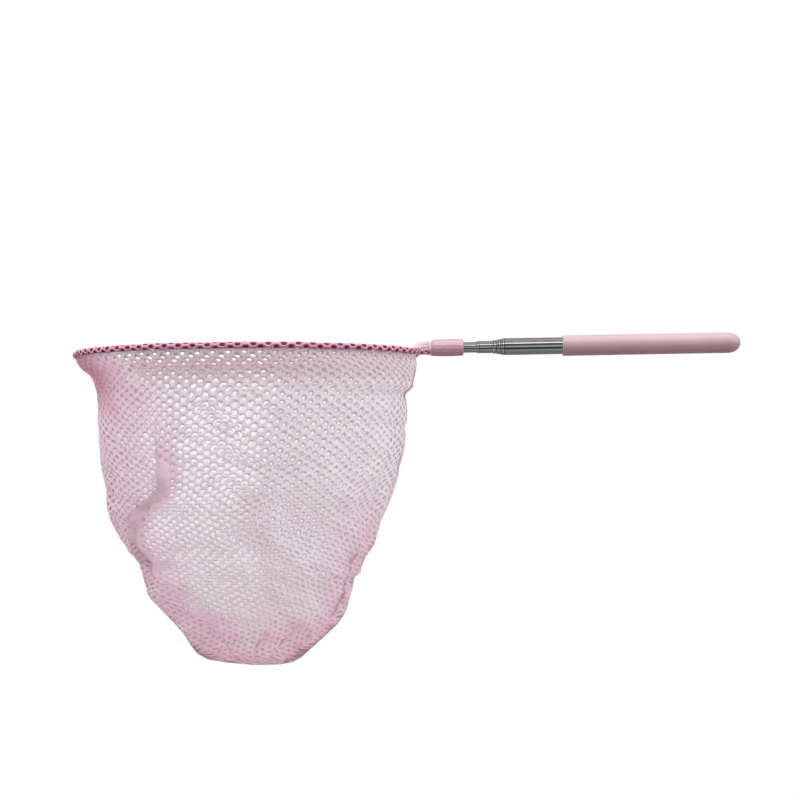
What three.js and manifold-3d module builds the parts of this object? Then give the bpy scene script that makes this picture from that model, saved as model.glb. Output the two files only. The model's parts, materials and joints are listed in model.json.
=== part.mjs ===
// Telescopic dip net: slim grip, five nested stainless tubes, collar, wire hoop and net bag.
// Millimetres, +Z up. X runs along the handle: the grip is at +X, the hoop at -X, the bag hangs to -Z.
// The origin is the middle of the grip, on the handle's axis.
import * as THREE from "three";
import { mergeVertices } from "three/addons/utils/BufferGeometryUtils.js";
import Module from "manifold-3d";

const wasm = await Module();
wasm.setup();

// ---------------------------------------------------------------- driving dimensions
const SIDES = 24; // facets of every turned piece

const GRIP_LENGTH = 103.2;
const GRIP_R = 5.95;
const GRIP_DOME = 7.4; // length of the domed end
const GRIP_BORE_R = 5.0;
const GRIP_BORE_END = 44.75;
const GRIP_CHAMFER = 0.4;

// Each tube: outer radius, wall, tip (front end, -X) and rear end at the photographed pose.
const WALL = 0.3;
const TUBE_1 = { r: 4.85, tip: -86.9, rear: 43.8 };
const TUBE_2 = { r: 4.4, tip: -89.1, rear: 37.0 };
const TUBE_3 = { r: 3.95, tip: -91.8, rear: 36.8 };
const TUBE_4 = { r: 3.5, tip: -101.5, rear: 29.0 };
const TUBE_5 = { r: 3.05, tip: -118.4, rear: 22.0 };
const LIP_CLEAR = 0.06; // between a rolled-in tip and the tube that slides through it
const LIP_LENGTH = 1.9; // length of the rolled-in tip
const SEAT_BACK = 1.8; // plain tube behind a spring seat
const SEAT_LENGTH = 6.4; // annular seat of a friction spring
const SEAT_DEPTH = 0.12;
const SPRING_LENGTH = 6.0;
const SPRING_SLOT = 1.2; // gap of the split bush

const PLUG_FACE = 38.0; // front face of the butt plug, the stop of the sliding tubes

const COLLAR_FRONT = -127.1;
const COLLAR_REAR = -109.0;
const COLLAR_R = 4.95; // at its middle: the collar is a slight barrel
const COLLAR_STEP = -118.8; // tube socket behind, core socket in front

const HOOP_X = -234.0; // centre of the hoop
const HOOP_R = 98.9; // radius of the wire's centre line
const HOOP_DROP = 3.3; // near the neck the ring lies this far under the handle's axis,
const HOOP_SAG = 0.4; // its two sides hang this much lower still
const HOOP_RISE = 2.25; // and its far end stands this much higher than the neck
const NECK_LIFT = 2.0; // right at the neck it bends up to the collar by this much
const WIRE_R = 0.9;
const LEG_Y = 1.0; // the two legs lie side by side
const LEG_Z = -1.5;
const LEG_END = -119.8;
const BEND_R = 5.2; // bend from leg to ring
const SHEATH_IN = 1.1;
const SHEATH_OUT = 1.5;
const HEM_IN = 1.65;
const HEM_OUT = 2.0;
const HEM_FROM = 10; // degrees either side of the neck where sheath and hem begin

const CLOTH = 0.8; // thickness of the bag's panels
const SEAM_R = 0.8;
// Bag outline by depth: [z, left x, right x, half depth in y, section power]
const BAG = [
  [-5.5, -332.7, -136.2, 98.6, 1.0],
  [-7.5, -331.2, -136.9, 97.8, 1.0],
  [-10, -328.4, -137.6, 96.4, 1.0],
  [-14, -323.2, -138.4, 94.0, 1.0],
  [-20, -321.3, -139.2, 91.6, 1.0],
  [-34, -320.8, -142.4, 87.6, 1.0],
  [-52, -320.3, -144.0, 82.0, 1.02],
  [-72, -318.8, -147.2, 74.0, 1.05],
  [-92, -316.2, -153.4, 64.0, 1.08],
  [-112, -306.2, -162.6, 52.6, 1.12],
  [-132, -297.2, -173.6, 39.6, 1.16],
  [-150, -287.0, -180.2, 26.4, 1.2],
  [-166, -272.4, -192.0, 12.8, 1.2],
  [-178.5, -258.0, -206.0, 2.3, 1.2],
];
const BAG_BOTTOM = -180.4;
const PANEL_COLUMNS = 16;

// ---------------------------------------------------------------- materials
const finish = (color, roughness, metalness) =>
  new THREE.MeshStandardMaterial({ color, roughness, metalness });
const GRIP_PINK = finish(0xdcb6c0, 0.42, 0);
const COLLAR_PINK = finish(0xdfb3bf, 0.18, 0);
const STEEL = finish(0xa9acad, 0.22, 1);
const SPRING_BRASS = finish(0xb8954e, 0.35, 1);
const PLUG_GREY = finish(0xd9d9d6, 0.6, 0);
const WIRE_STEEL = finish(0x8f9294, 0.3, 1);
const SHEATH_MAGENTA = finish(0x84204a, 0.45, 0);
const HEM_PINK = finish(0xe08fb2, 0.85, 0);
const NET_PINK = finish(0xeccdd6, 0.9, 0);
const SEAM_PINK = finish(0xe6b4c5, 0.9, 0);
const THREAD_PINK = finish(0xe08aae, 0.8, 0);

// ---------------------------------------------------------------- helpers
const net = new THREE.Group();

function add(name, geometry, material, aboutX = false) {
  const mesh = new THREE.Mesh(geometry, material);
  mesh.name = name;
  if (aboutX) mesh.rotation.z = -Math.PI / 2; // turned pieces: lathe axis onto +X
  net.add(mesh);
  return mesh;
}

// A piece turned about the handle's axis. The profile lists [x, radius] points with the material on its left.
function turned(profile) {
  return new THREE.LatheGeometry(
    profile.map(([x, r]) => new THREE.Vector2(r, x)),
    SIDES,
  );
}

// A curve through given stations, sampled exactly at them.
class StationCurve extends THREE.Curve {
  constructor(points) {
    super();
    this.points = points;
  }
  getPoint(t, target = new THREE.Vector3()) {
    const n = this.points.length - 1;
    const i = Math.min(n - 1, Math.floor(t * n + 1e-9));
    return target.lerpVectors(this.points[i], this.points[i + 1], t * n - i);
  }
  getPointAt(u, target) {
    return this.getPoint(u, target);
  }
  getTangentAt(u, target = new THREE.Vector3()) {
    const n = this.points.length - 1;
    const i = Math.round(u * n);
    const a = this.points[Math.max(0, i - 1)];
    const b = this.points[Math.min(n, i + 1)];
    return target.subVectors(b, a).normalize();
  }
}

const ngon = (r, n) =>
  Array.from({ length: n }, (_, i) => {
    const a = (2 * Math.PI * (i + 0.5)) / n;
    return new THREE.Vector2(r * Math.cos(a), r * Math.sin(a));
  });

// A rod, or with a bore a tube, along stations.
function rod(points, r, sides, bore = 0) {
  const section = new THREE.Shape(ngon(r, sides));
  if (bore) section.holes.push(new THREE.Path(ngon(bore, sides).reverse()));
  return new THREE.ExtrudeGeometry(section, {
    steps: points.length - 1,
    extrudePath: new StationCurve(points),
    bevelEnabled: false,
  });
}

function solid(geometry) {
  const g = geometry.clone();
  g.deleteAttribute("normal");
  g.deleteAttribute("uv");
  const m = mergeVertices(g, 1e-4);
  return new wasm.Manifold(
    new wasm.Mesh({
      numProp: 3,
      vertProperties: new Float32Array(m.attributes.position.array),
      triVerts: new Uint32Array(m.index.array),
    }),
  );
}

function geometryOf(manifold) {
  const m = manifold.getMesh();
  const g = new THREE.BufferGeometry();
  g.setAttribute("position", new THREE.BufferAttribute(m.vertProperties, 3));
  g.setIndex(new THREE.BufferAttribute(m.triVerts, 1));
  g.computeVertexNormals();
  return g;
}

const aboutX = (geometry) => geometry.rotateZ(-Math.PI / 2);

const box = (x0, x1, y0, y1, z0, z1) =>
  new THREE.BoxGeometry(x1 - x0, y1 - y0, z1 - z0).translate(
    (x0 + x1) / 2,
    (y0 + y1) / 2,
    (z0 + z1) / 2,
  );

// ---------------------------------------------------------------- grip
{
  const half = GRIP_LENGTH / 2;
  const dome = [];
  for (let i = 0; i <= 6; i++) {
    const a = (i / 6) * (Math.PI / 2);
    dome.push([
      half - GRIP_DOME + GRIP_DOME * Math.sin(a),
      GRIP_R * Math.cos(a),
    ]);
  }
  dome[6][1] = 0;
  const profile = [
    [GRIP_BORE_END, 0],
    [GRIP_BORE_END, GRIP_BORE_R],
    [-half, GRIP_BORE_R],
    [-half, GRIP_R - GRIP_CHAMFER],
    [-half + GRIP_CHAMFER, GRIP_R],
    ...dome,
  ];
  add("grip_sleeve", turned(profile), GRIP_PINK, true);
}

// Plug that closes the back of the outer tube.
add(
  "butt_plug",
  turned([
    [PLUG_FACE, 0],
    [PLUG_FACE, 4.0],
    [PLUG_FACE + 0.4, 4.43],
    [43.95, 4.43],
    [43.95, 4.8],
    [44.45, 4.8],
    [44.45, 0],
  ]),
  PLUG_GREY,
  true,
);

// ---------------------------------------------------------------- tubes and friction springs
// next: the tube that slides through this one's rolled-in tip.
function tubeProfile(tube, next, seat) {
  const { r, tip, rear } = tube;
  const inner = r - WALL;
  const profile = [];
  if (next) {
    const lip = next.r + LIP_CLEAR;
    profile.push(
      [tip + LIP_LENGTH, inner],
      [tip + LIP_LENGTH - 0.7, lip],
      [tip, lip],
      [tip, lip + 0.12],
      [tip + 0.35, r - 0.16],
      [tip + 1.2, r],
    );
  } else {
    profile.push([tip, inner], [tip, r]);
  }
  if (seat) {
    const back = rear - SEAT_BACK;
    const front = back - SEAT_LENGTH;
    profile.push(
      [front, r],
      [front, r - SEAT_DEPTH],
      [back, r - SEAT_DEPTH],
      [back, r],
    );
  }
  profile.push([rear, r], [rear, inner]);
  profile.push([...profile[0]]);
  return profile;
}

add("tube_1_outer", turned(tubeProfile(TUBE_1, TUBE_2, false)), STEEL, true);
add("tube_2", turned(tubeProfile(TUBE_2, TUBE_3, true)), STEEL, true);
add("tube_3", turned(tubeProfile(TUBE_3, TUBE_4, true)), STEEL, true);
add("tube_4", turned(tubeProfile(TUBE_4, TUBE_5, true)), STEEL, true);
add("tube_5_tip", turned(tubeProfile(TUBE_5, null, true)), STEEL, true);

// Split bush in the seat of a sliding tube; it rubs on the bore of the tube around it.
function spring(tube, around) {
  const back = tube.rear - SEAT_BACK - (SEAT_LENGTH - SPRING_LENGTH) / 2;
  const front = back - SPRING_LENGTH;
  const rin = tube.r - SEAT_DEPTH + 0.045;
  const rout = around.r - WALL - 0.04;
  const ring = aboutX(
    turned([
      [front, rin],
      [front, rout],
      [back, rout],
      [back, rin],
      [front, rin],
    ]),
  );
  const slot = box(
    front - 1,
    back + 1,
    -SPRING_SLOT / 2,
    SPRING_SLOT / 2,
    0,
    rout + 1,
  );
  return geometryOf(solid(ring).subtract(solid(slot)));
}
add("friction_spring_2", spring(TUBE_2, TUBE_1), SPRING_BRASS);
add("friction_spring_3", spring(TUBE_3, TUBE_2), SPRING_BRASS);
add("friction_spring_4", spring(TUBE_4, TUBE_3), SPRING_BRASS);
add("friction_spring_5", spring(TUBE_5, TUBE_4), SPRING_BRASS);

// ---------------------------------------------------------------- collar
add(
  "collar",
  turned([
    [COLLAR_STEP, TUBE_5.r + 0.17],
    [COLLAR_STEP, 3.95],
    [COLLAR_FRONT, 3.95],
    [COLLAR_FRONT, 4.3],
    [COLLAR_FRONT + 0.4, 4.56],
    [-125.5, COLLAR_R - 0.24],
    [-121.5, COLLAR_R - 0.06],
    [-117.6, COLLAR_R],
    [-113.5, COLLAR_R - 0.06],
    [-110.3, COLLAR_R - 0.2],
    [COLLAR_REAR - 0.3, 4.55],
    [COLLAR_REAR, 4.1],
    [COLLAR_REAR, TUBE_5.r + 0.17],
    [COLLAR_STEP, TUBE_5.r + 0.17],
  ]),
  COLLAR_PINK,
  true,
);

// Core: spigot in the thinnest tube, body in the collar, one slot for the two legs.
{
  const body = aboutX(
    turned([
      [-125.4, 0],
      [-125.4, 3.8],
      [COLLAR_STEP - 0.15, 3.8],
      [COLLAR_STEP - 0.15, 2.55],
      [-110.2, 2.55],
      [-110.2, 0],
    ]),
  );
  const slot = box(
    -129,
    LEG_END + 0.6,
    -2.05,
    2.05,
    LEG_Z - 1.08,
    LEG_Z + 1.08,
  );
  add("collar_core", geometryOf(solid(body).subtract(solid(slot))), PLUG_GREY);
}

// ---------------------------------------------------------------- hoop
const V = (x, y, z) => new THREE.Vector3(x, y, z);
const onRing = (deg, radius = HOOP_R, z = 0) => {
  const a = THREE.MathUtils.degToRad(deg);
  const drop =
    HOOP_DROP +
    HOOP_SAG * Math.sin(a) ** 2 -
    (HOOP_RISE * (1 - Math.cos(a))) / 2 -
    NECK_LIFT * Math.exp(-((Math.atan2(Math.sin(a), Math.cos(a)) / 0.2) ** 2));
  return V(HOOP_X + radius * Math.cos(a), radius * Math.sin(a), z - drop);
};

// One leg with its bend, from the collar to the ring, on the +Y side.
const bendX = HOOP_X + HOOP_R - 0.28 + BEND_R;
const neckZ = onRing(
  THREE.MathUtils.radToDeg(Math.asin((LEG_Y + BEND_R) / HOOP_R)),
).z;
const leg = [V(LEG_END, LEG_Y, LEG_Z), V(-124, LEG_Y, LEG_Z)];
for (let i = 0; i <= 4; i++) {
  const a = -Math.PI / 2 - (i / 4) * (Math.PI / 2);
  leg.push(
    V(
      bendX + BEND_R * Math.cos(a),
      LEG_Y + BEND_R + BEND_R * Math.sin(a),
      LEG_Z + (neckZ - LEG_Z) * (i / 4) ** 1.4,
    ),
  );
}
const mirrored = leg.map((p) => V(p.x, -p.y, p.z)).reverse();
const ring = [];
for (let d = HEM_FROM; d <= 360 - HEM_FROM; d += 5) ring.push(onRing(d));
const wirePath = [...leg, onRing(6), ...ring, onRing(354), ...mirrored];

add("hoop_wire", rod(wirePath, WIRE_R, 6), WIRE_STEEL);
add("hoop_sheath", rod(ring, SHEATH_OUT, 6, SHEATH_IN), SHEATH_MAGENTA);
add("hem_casing", rod(ring, HEM_OUT, 6, HEM_IN), HEM_PINK);

const stitch = [];
for (let d = HEM_FROM; d <= 360 - HEM_FROM; d += 5)
  stitch.push(onRing(d, HOOP_R - 2.7, -1.0));
add("hem_stitching", rod(stitch, 0.3, 4), THREAD_PINK);

// Bunched fabric in front of the collar, round the legs.
{
  const bunch = aboutX(
    turned([
      [-134.3, 0],
      [-134.3, 1.9],
      [-133.2, 3.0],
      [-131.2, 4.1],
      [-128.6, 4.45],
      [-127.45, 4.1],
      [-127.45, 0],
    ]),
  );
  const clear = solid(rod(wirePath, WIRE_R + 0.35, 6));
  add("neck_gather", geometryOf(solid(bunch).subtract(clear)), HEM_PINK);
}

// ---------------------------------------------------------------- bag
// Point of the bag's outside: row of the outline table, angle from +X round the section.
function bagPoint(row, angle, inset) {
  const [z, left, right, depth, power] = row;
  const half = (right - left) / 2 - inset;
  const b = depth - inset;
  const s = Math.sin(angle);
  return V(
    (left + right) / 2 + half * Math.cos(angle),
    b * Math.sign(s) * Math.pow(Math.abs(s), power),
    z,
  );
}

// Half of the bag as a closed thin shell, from one side seam to the other.
function panel(side) {
  const rows = BAG.length;
  const cols = PANEL_COLUMNS + 1;
  const points = [];
  for (const inset of [0, CLOTH])
    for (const row of BAG) {
      const edge = SEAM_R + 0.5 + (inset ? 0.1 : 0);
      const e = Math.asin(
        Math.min(0.9, Math.pow(edge / (row[3] - inset), 1 / row[4])),
      );
      for (let j = 0; j < cols; j++) {
        const t = j / PANEL_COLUMNS;
        const a = side * (e + (Math.PI - 2 * e) * t);
        points.push(bagPoint(row, a, inset));
      }
    }
  const at = (layer, i, j) => (layer * rows + i) * cols + j;
  const index = [];
  const quad = (a, b, c, d) => index.push(a, b, c, a, c, d);
  for (let i = 0; i < rows - 1; i++)
    for (let j = 0; j < cols - 1; j++) {
      quad(at(0, i, j), at(0, i + 1, j), at(0, i + 1, j + 1), at(0, i, j + 1));
      quad(at(1, i, j), at(1, i, j + 1), at(1, i + 1, j + 1), at(1, i + 1, j));
    }
  for (let j = 0; j < cols - 1; j++) {
    quad(at(0, 0, j), at(0, 0, j + 1), at(1, 0, j + 1), at(1, 0, j));
    const k = rows - 1;
    quad(at(0, k, j), at(1, k, j), at(1, k, j + 1), at(0, k, j + 1));
  }
  for (let i = 0; i < rows - 1; i++) {
    quad(at(0, i, 0), at(1, i, 0), at(1, i + 1, 0), at(0, i + 1, 0));
    const k = cols - 1;
    quad(at(0, i, k), at(0, i + 1, k), at(1, i + 1, k), at(1, i, k));
  }
  if (side < 0)
    for (let i = 0; i < index.length; i += 3)
      [index[i + 1], index[i + 2]] = [index[i + 2], index[i + 1]];
  const g = new THREE.BufferGeometry();
  g.setAttribute(
    "position",
    new THREE.Float32BufferAttribute(
      points.flatMap((p) => [p.x, p.y, p.z]),
      3,
    ),
  );
  g.setIndex(index);
  g.computeVertexNormals();
  return g;
}
add("bag_front_panel", panel(-1), NET_PINK);
add("bag_back_panel", panel(1), NET_PINK);

// Seam between the panels: down the left side, along the bottom, up the right side.
{
  const sides = BAG.slice(1);
  const path = [];
  for (const row of sides) path.push(V(row[1] + 0.4, 0, row[0]));
  path.push(V(-250, 0, BAG_BOTTOM), V(-232, 0, BAG_BOTTOM - 0.4));
  path.push(V(-214, 0, BAG_BOTTOM));
  for (const row of [...sides].reverse()) path.push(V(row[2] - 0.4, 0, row[0]));
  add("bag_seam", rod(path, SEAM_R, 6), SEAM_PINK);
}

export default net;
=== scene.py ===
"""Telescopic dip net: the looks.  Lengths in the builders below are millimetres, and
put() turns them into metres.  +X runs along the handle towards the grip's domed end,
the hoop lies in the XY plane and the bag hangs down -Z."""

import json
import math

import bpy
import numpy as np
from mathutils import Matrix, Vector

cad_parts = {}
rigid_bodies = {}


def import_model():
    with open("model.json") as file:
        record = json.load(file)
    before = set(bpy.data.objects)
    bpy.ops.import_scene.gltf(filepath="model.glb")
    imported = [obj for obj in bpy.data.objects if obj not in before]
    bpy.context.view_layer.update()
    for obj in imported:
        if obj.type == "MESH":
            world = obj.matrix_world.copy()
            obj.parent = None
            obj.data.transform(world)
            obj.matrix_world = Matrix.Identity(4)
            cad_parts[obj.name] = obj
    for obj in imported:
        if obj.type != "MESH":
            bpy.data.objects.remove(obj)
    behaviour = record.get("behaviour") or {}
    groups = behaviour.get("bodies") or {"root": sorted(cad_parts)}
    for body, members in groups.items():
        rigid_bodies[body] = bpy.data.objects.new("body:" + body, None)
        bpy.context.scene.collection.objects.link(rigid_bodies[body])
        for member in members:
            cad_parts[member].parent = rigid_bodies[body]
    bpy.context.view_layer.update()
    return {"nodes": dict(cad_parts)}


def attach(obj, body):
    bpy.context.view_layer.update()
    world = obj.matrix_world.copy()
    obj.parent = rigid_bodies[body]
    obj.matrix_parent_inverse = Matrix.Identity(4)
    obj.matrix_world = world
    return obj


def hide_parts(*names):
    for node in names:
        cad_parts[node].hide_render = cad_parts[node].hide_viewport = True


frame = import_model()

# ---------------------------------------------------------------- sizes, as in the CAD
GRIP_FRONT, GRIP_BACK, GRIP_R, GRIP_BORE, GRIP_DOME = -51.6, 51.6, 5.95, 5.0, 7.4
WALL = 0.3
TUBES = [  # radius, tip, rear
    (4.85, -86.9, 43.8),
    (4.4, -89.1, 37.0),
    (3.95, -91.8, 36.8),
    (3.5, -101.5, 29.0),
    (3.05, -118.4, 22.0),
]
HOOP_X, HOOP_R, WIRE_R = -234.0, 98.9, 0.9
HOOP_DROP, HOOP_SAG, HOOP_RISE, NECK_LIFT = 3.3, 0.4, 2.25, 2.0
BEND_R, LEG_Y, LEG_Z, LEG_END = 5.2, 1.0, -1.5, -119.8
COLLAR_FRONT = -127.1
SHEATH_R, HEM_R = 1.42, 1.67
COLUMNS, COLUMN, ROW = 72, 3.68, 4.5  # net columns in one panel, column and row pitch
HOLE_X, HOLE_Y = 1.84, 1.32  # half width and half height of a net hole
YARN = 0.2  # half thickness of the knitted yarn

# the bag's outline in the plane of its side seams: height, X
LEFT = [
    (0, -332.6), (-2, -332.8), (-4, -332.4), (-6, -331.4), (-9.1, -329.2), (-11, -326.6),
    (-12.7, -324.6), (-16.2, -322.3), (-23, -320.7), (-44, -320.2), (-60, -319.6), (-66, -318.7),
    (-72, -317.4), (-79, -315.6), (-90, -316.2), (-96, -315.0), (-100, -312.9), (-107, -309.3),
    (-110.4, -306.7), (-114, -304.4), (-117.4, -300.9), (-121, -297.4), (-126, -297.0),
    (-131.4, -295.9), (-136, -294.4), (-138.4, -294.4), (-142, -292.2), (-149, -285.6),
    (-156, -279.0), (-163, -273.0), (-166.7, -271.0), (-170, -268.8), (-173.7, -266.0),
    (-177.4, -259.8), (-179.5, -249.0), (-181.0, -234.0),
]
RIGHT = [
    (0, -136.4), (-2, -136.5), (-4.5, -137.0), (-9.2, -136.2), (-13.8, -137.0), (-19.5, -138.5), (-22.5, -138.8),
    (-24.8, -141.6), (-26.6, -143.6), (-30, -142.6), (-37, -142.2), (-42.5, -142.6), (-44.8, -144.3),
    (-49, -143.4), (-58, -144.3), (-65, -146.2), (-69, -147.5), (-73, -147.9), (-78, -149.4),
    (-85, -151.9), (-92, -155.0), (-96, -156.9), (-99, -158.6), (-106, -160.5), (-113, -162.8),
    (-120, -167.8), (-126, -170.6), (-129, -170.9), (-131.5, -174.6), (-137, -175.6),
    (-144, -177.6), (-151, -179.6), (-158, -184.3), (-165, -191.9), (-171.5, -199.6),
    (-175, -203.4), (-178.4, -207.4), (-180.2, -211.6), (-181.0, -218.0),
]
DEPTH = [  # height, half depth of the bag, section power
    (0, 98.7, 1.0), (-2, 98.7, 1.0), (-6, 98.0, 1.0), (-10, 96.0, 1.0), (-14, 93.6, 1.0),
    (-20, 91.4, 1.0), (-34, 87.6, 1.0), (-52, 82.0, 1.02), (-72, 74.0, 1.05), (-92, 64.0, 1.08),
    (-112, 52.6, 1.12), (-132, 39.6, 1.16), (-150, 26.4, 1.2), (-166, 13.0, 1.2),
    (-176, 4.6, 1.2), (-181, 0.3, 1.2),
]
BAG_TOP, BAG_END = -1.7, -181.0


# ---------------------------------------------------------------- mesh helpers
def put(name, verts, faces, material, uv=None, sharp=None, gather=None):
    """A smooth mesh object from millimetre points."""
    me = bpy.data.meshes.new(name)
    me.from_pydata((np.asarray(verts) * 0.001).tolist(), [], [list(map(int, f)) for f in faces])
    me.polygons.foreach_set("use_smooth", np.ones(len(me.polygons), dtype=bool))
    if uv is not None:
        layer = me.uv_layers.new(name="flat")
        index = np.empty(len(me.loops), dtype=np.int32)
        me.loops.foreach_get("vertex_index", index)
        layer.data.foreach_set("uv", np.asarray(uv, dtype=np.float32)[index].ravel())
    if gather is not None:
        me.attributes.new("gather", "FLOAT", "POINT").data.foreach_set("value", np.asarray(gather, dtype=np.float32))
    if sharp is not None:
        me.set_sharp_from_angle(angle=math.radians(sharp))
    me.materials.append(material)
    me.update()
    ob = bpy.data.objects.new(name, me)
    bpy.context.scene.collection.objects.link(ob)
    return ob


def flipped(verts, faces):
    """The faces, turned round if they point into the closed body."""
    v = np.asarray(verts)
    total = 0.0
    for f in (faces,):
        a, b, c, d = (v[f[:, k]] for k in range(4))
        total += np.einsum("ij,ij->i", a, np.cross(b, c)).sum()
        total += np.einsum("ij,ij->i", a, np.cross(c, d)).sum()
    return faces[:, ::-1] if total < 0 else faces


def lathe(name, profile, material, sides=96, sharp=28):
    """A body turned about the X axis.  profile: (x, r) points that close on themselves
    or start and end on the axis."""
    on_axis = profile[0][1] == 0 and profile[-1][1] == 0
    pts = [(x, max(r, 0.0)) for x, r in profile]
    ang = np.arange(sides) * (2 * math.pi / sides)
    verts, faces, rings = [], [], []
    for x, r in pts:
        if r == 0:
            rings.append([len(verts)])
            verts.append((x, 0.0, 0.0))
        else:
            rings.append(list(range(len(verts), len(verts) + sides)))
            verts += [(x, r * math.cos(a), r * math.sin(a)) for a in ang]
    pairs = list(zip(rings, rings[1:]))
    if not on_axis:
        pairs.append((rings[-1], rings[0]))
    for p, q in pairs:
        for k in range(sides):
            n = (k + 1) % sides
            if len(p) == 1 and len(q) == 1:
                continue
            if len(p) == 1:
                faces.append((p[0], q[k], q[n]))
            elif len(q) == 1:
                faces.append((p[k], q[0], p[n]))
            else:
                faces.append((p[k], q[k], q[n], p[n]))
    v = np.array(verts)
    vol = 0.0
    for f in faces:
        for k in range(1, len(f) - 1):
            vol += np.dot(v[f[0]], np.cross(v[f[k]], v[f[k + 1]]))
    if vol < 0:
        faces = [f[::-1] for f in faces]
    return put(name, v, faces, material, sharp=sharp)


def rounded(points, radius, steps=3):
    """An open run of (x, r) points with its inner corners rounded."""
    out = [points[0]]
    for a, b, c in zip(points, points[1:], points[2:]):
        a, b, c = (np.array(p, float) for p in (a, b, c))
        la, lc = np.linalg.norm(a - b), np.linalg.norm(c - b)
        cut = min(radius, 0.45 * la, 0.45 * lc)
        p, q = b + (a - b) / la * cut, b + (c - b) / lc * cut
        for k in range(steps + 1):
            t = k / steps
            out.append(tuple((1 - t) ** 2 * p + 2 * t * (1 - t) * b + t * t * q))
    out.append(points[-1])
    return out


def tube_along(name, path, radius, material, sides=10, closed=False, uv=None):
    """A round tube along a path of millimetre points; radius is one number or one a point."""
    p = np.asarray(path, float)
    n = len(p)
    r = np.full(n, radius, float) if np.isscalar(radius) else np.asarray(radius, float)
    if closed:
        tan = np.roll(p, -1, 0) - np.roll(p, 1, 0)
    else:
        tan = np.gradient(p, axis=0)
    tan /= np.linalg.norm(tan, axis=1)[:, None]
    first = np.array([0.0, 0.0, 1.0]) if abs(tan[0][2]) < 0.9 else np.array([1.0, 0.0, 0.0])
    e1 = np.empty_like(p)
    e = first - tan[0] * np.dot(first, tan[0])
    e /= np.linalg.norm(e)
    for k in range(n):
        e = e - tan[k] * np.dot(e, tan[k])
        e /= np.linalg.norm(e)
        e1[k] = e
    e2 = np.cross(tan, e1)
    ang = np.arange(sides) * (2 * math.pi / sides)
    ring = (
        p[:, None, :]
        + r[:, None, None] * (np.cos(ang)[None, :, None] * e1[:, None, :] + np.sin(ang)[None, :, None] * e2[:, None, :])
    )
    verts = ring.reshape(-1, 3)
    faces = []
    last = n if closed else n - 1
    for k in range(last):
        m = (k + 1) % n
        for s in range(sides):
            t = (s + 1) % sides
            faces.append((k * sides + s, k * sides + t, m * sides + t, m * sides + s))
    faces = [list(f) for f in faces]
    if not closed:
        c0, c1 = len(verts), len(verts) + 1
        verts = np.vstack([verts, p[0] - tan[0] * r[0] * 0.5, p[-1] + tan[-1] * r[-1] * 0.5])
        base = (n - 1) * sides
        for s in range(sides):
            t = (s + 1) % sides
            faces.append([c0, t, s])
            faces.append([c1, base + s, base + t])
    if uv:
        far = np.concatenate([[0], np.cumsum(np.linalg.norm(np.diff(p, axis=0), axis=1))])
        flat = np.stack([np.tile(ang * uv, n), np.repeat(far / 4.1, sides)], 1)
        uv = np.vstack([flat, np.zeros((len(verts) - len(flat), 2))])
    return put(name, verts, faces, material, uv=uv)


def wander(p, length, seed, count=11):
    """Smooth random values of about unit size over points p, with that wavelength."""
    r = np.random.RandomState(seed)
    k = r.normal(size=(count, p.shape[1]))
    k /= np.linalg.norm(k, axis=1)[:, None]
    k *= 2 * math.pi / (length * r.uniform(0.7, 1.45, (count, 1)))
    ph = r.uniform(0, 2 * math.pi, count)
    return np.sin(p @ k.T + ph).sum(1) / math.sqrt(count / 2)


def table(rows, col=1):
    a = np.array(sorted(rows, key=lambda row: row[0]), float)
    return lambda z: np.interp(z, a[:, 0], a[:, col])


# ---------------------------------------------------------------- materials
def material(name):
    m = bpy.data.materials.new(name)
    m.use_nodes = True
    nt = m.node_tree
    bsdf = next(n for n in nt.nodes if n.type == "BSDF_PRINCIPLED")
    out = next(n for n in nt.nodes if n.type == "OUTPUT_MATERIAL")
    return m, nt, bsdf, out


def node(nt, kind, **values):
    n = nt.nodes.new(kind)
    for k, v in values.items():
        if k.startswith("in_"):
            n.inputs[k[3:].replace("_", " ")].default_value = v
        else:
            setattr(n, k, v)
    return n


def coords(nt, kind="Object", scale=(1, 1, 1), uv=None):
    """Texture coordinates of the piece, scaled, in metres for Object."""
    if uv:
        tc = node(nt, "ShaderNodeUVMap", uv_map=uv)
        source = tc.outputs["UV"]
    else:
        tc = node(nt, "ShaderNodeTexCoord")
        source = tc.outputs[kind]
    mp = node(nt, "ShaderNodeMapping")
    mp.inputs["Scale"].default_value = scale
    nt.links.new(source, mp.inputs["Vector"])
    return mp.outputs["Vector"]


def noise(nt, vector, scale, detail=4.0, rough=0.55):
    n = node(nt, "ShaderNodeTexNoise")
    n.inputs["Scale"].default_value = scale
    n.inputs["Detail"].default_value = detail
    n.inputs["Roughness"].default_value = rough
    nt.links.new(vector, n.inputs["Vector"])
    return n.outputs["Fac"]


def ramp(nt, fac, stops):
    n = node(nt, "ShaderNodeValToRGB")
    e = n.color_ramp.elements
    while len(e) < len(stops):
        e.new(0.5)
    for k, (pos, col) in enumerate(stops):
        e[k].position = pos
        e[k].color = (*col, 1.0) if not np.isscalar(col) else (col, col, col, 1.0)
    nt.links.new(fac, n.inputs["Fac"])
    return n.outputs["Color"]


def spread(nt, fac, lo, hi):
    n = node(nt, "ShaderNodeMapRange")
    n.inputs["From Min"].default_value = 0.25
    n.inputs["From Max"].default_value = 0.75
    n.inputs["To Min"].default_value = lo
    n.inputs["To Max"].default_value = hi
    nt.links.new(fac, n.inputs["Value"])
    return n.outputs["Result"]


def mixed(nt, fac, a, b):
    n = node(nt, "ShaderNodeMix", data_type="RGBA")
    for sock, v in ((n.inputs[6], a), (n.inputs[7], b)):
        if isinstance(v, tuple):
            sock.default_value = (*v, 1.0)
        else:
            nt.links.new(v, sock)
    if isinstance(fac, float):
        n.inputs[0].default_value = fac
    else:
        nt.links.new(fac, n.inputs[0])
    return n.outputs[2]


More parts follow.
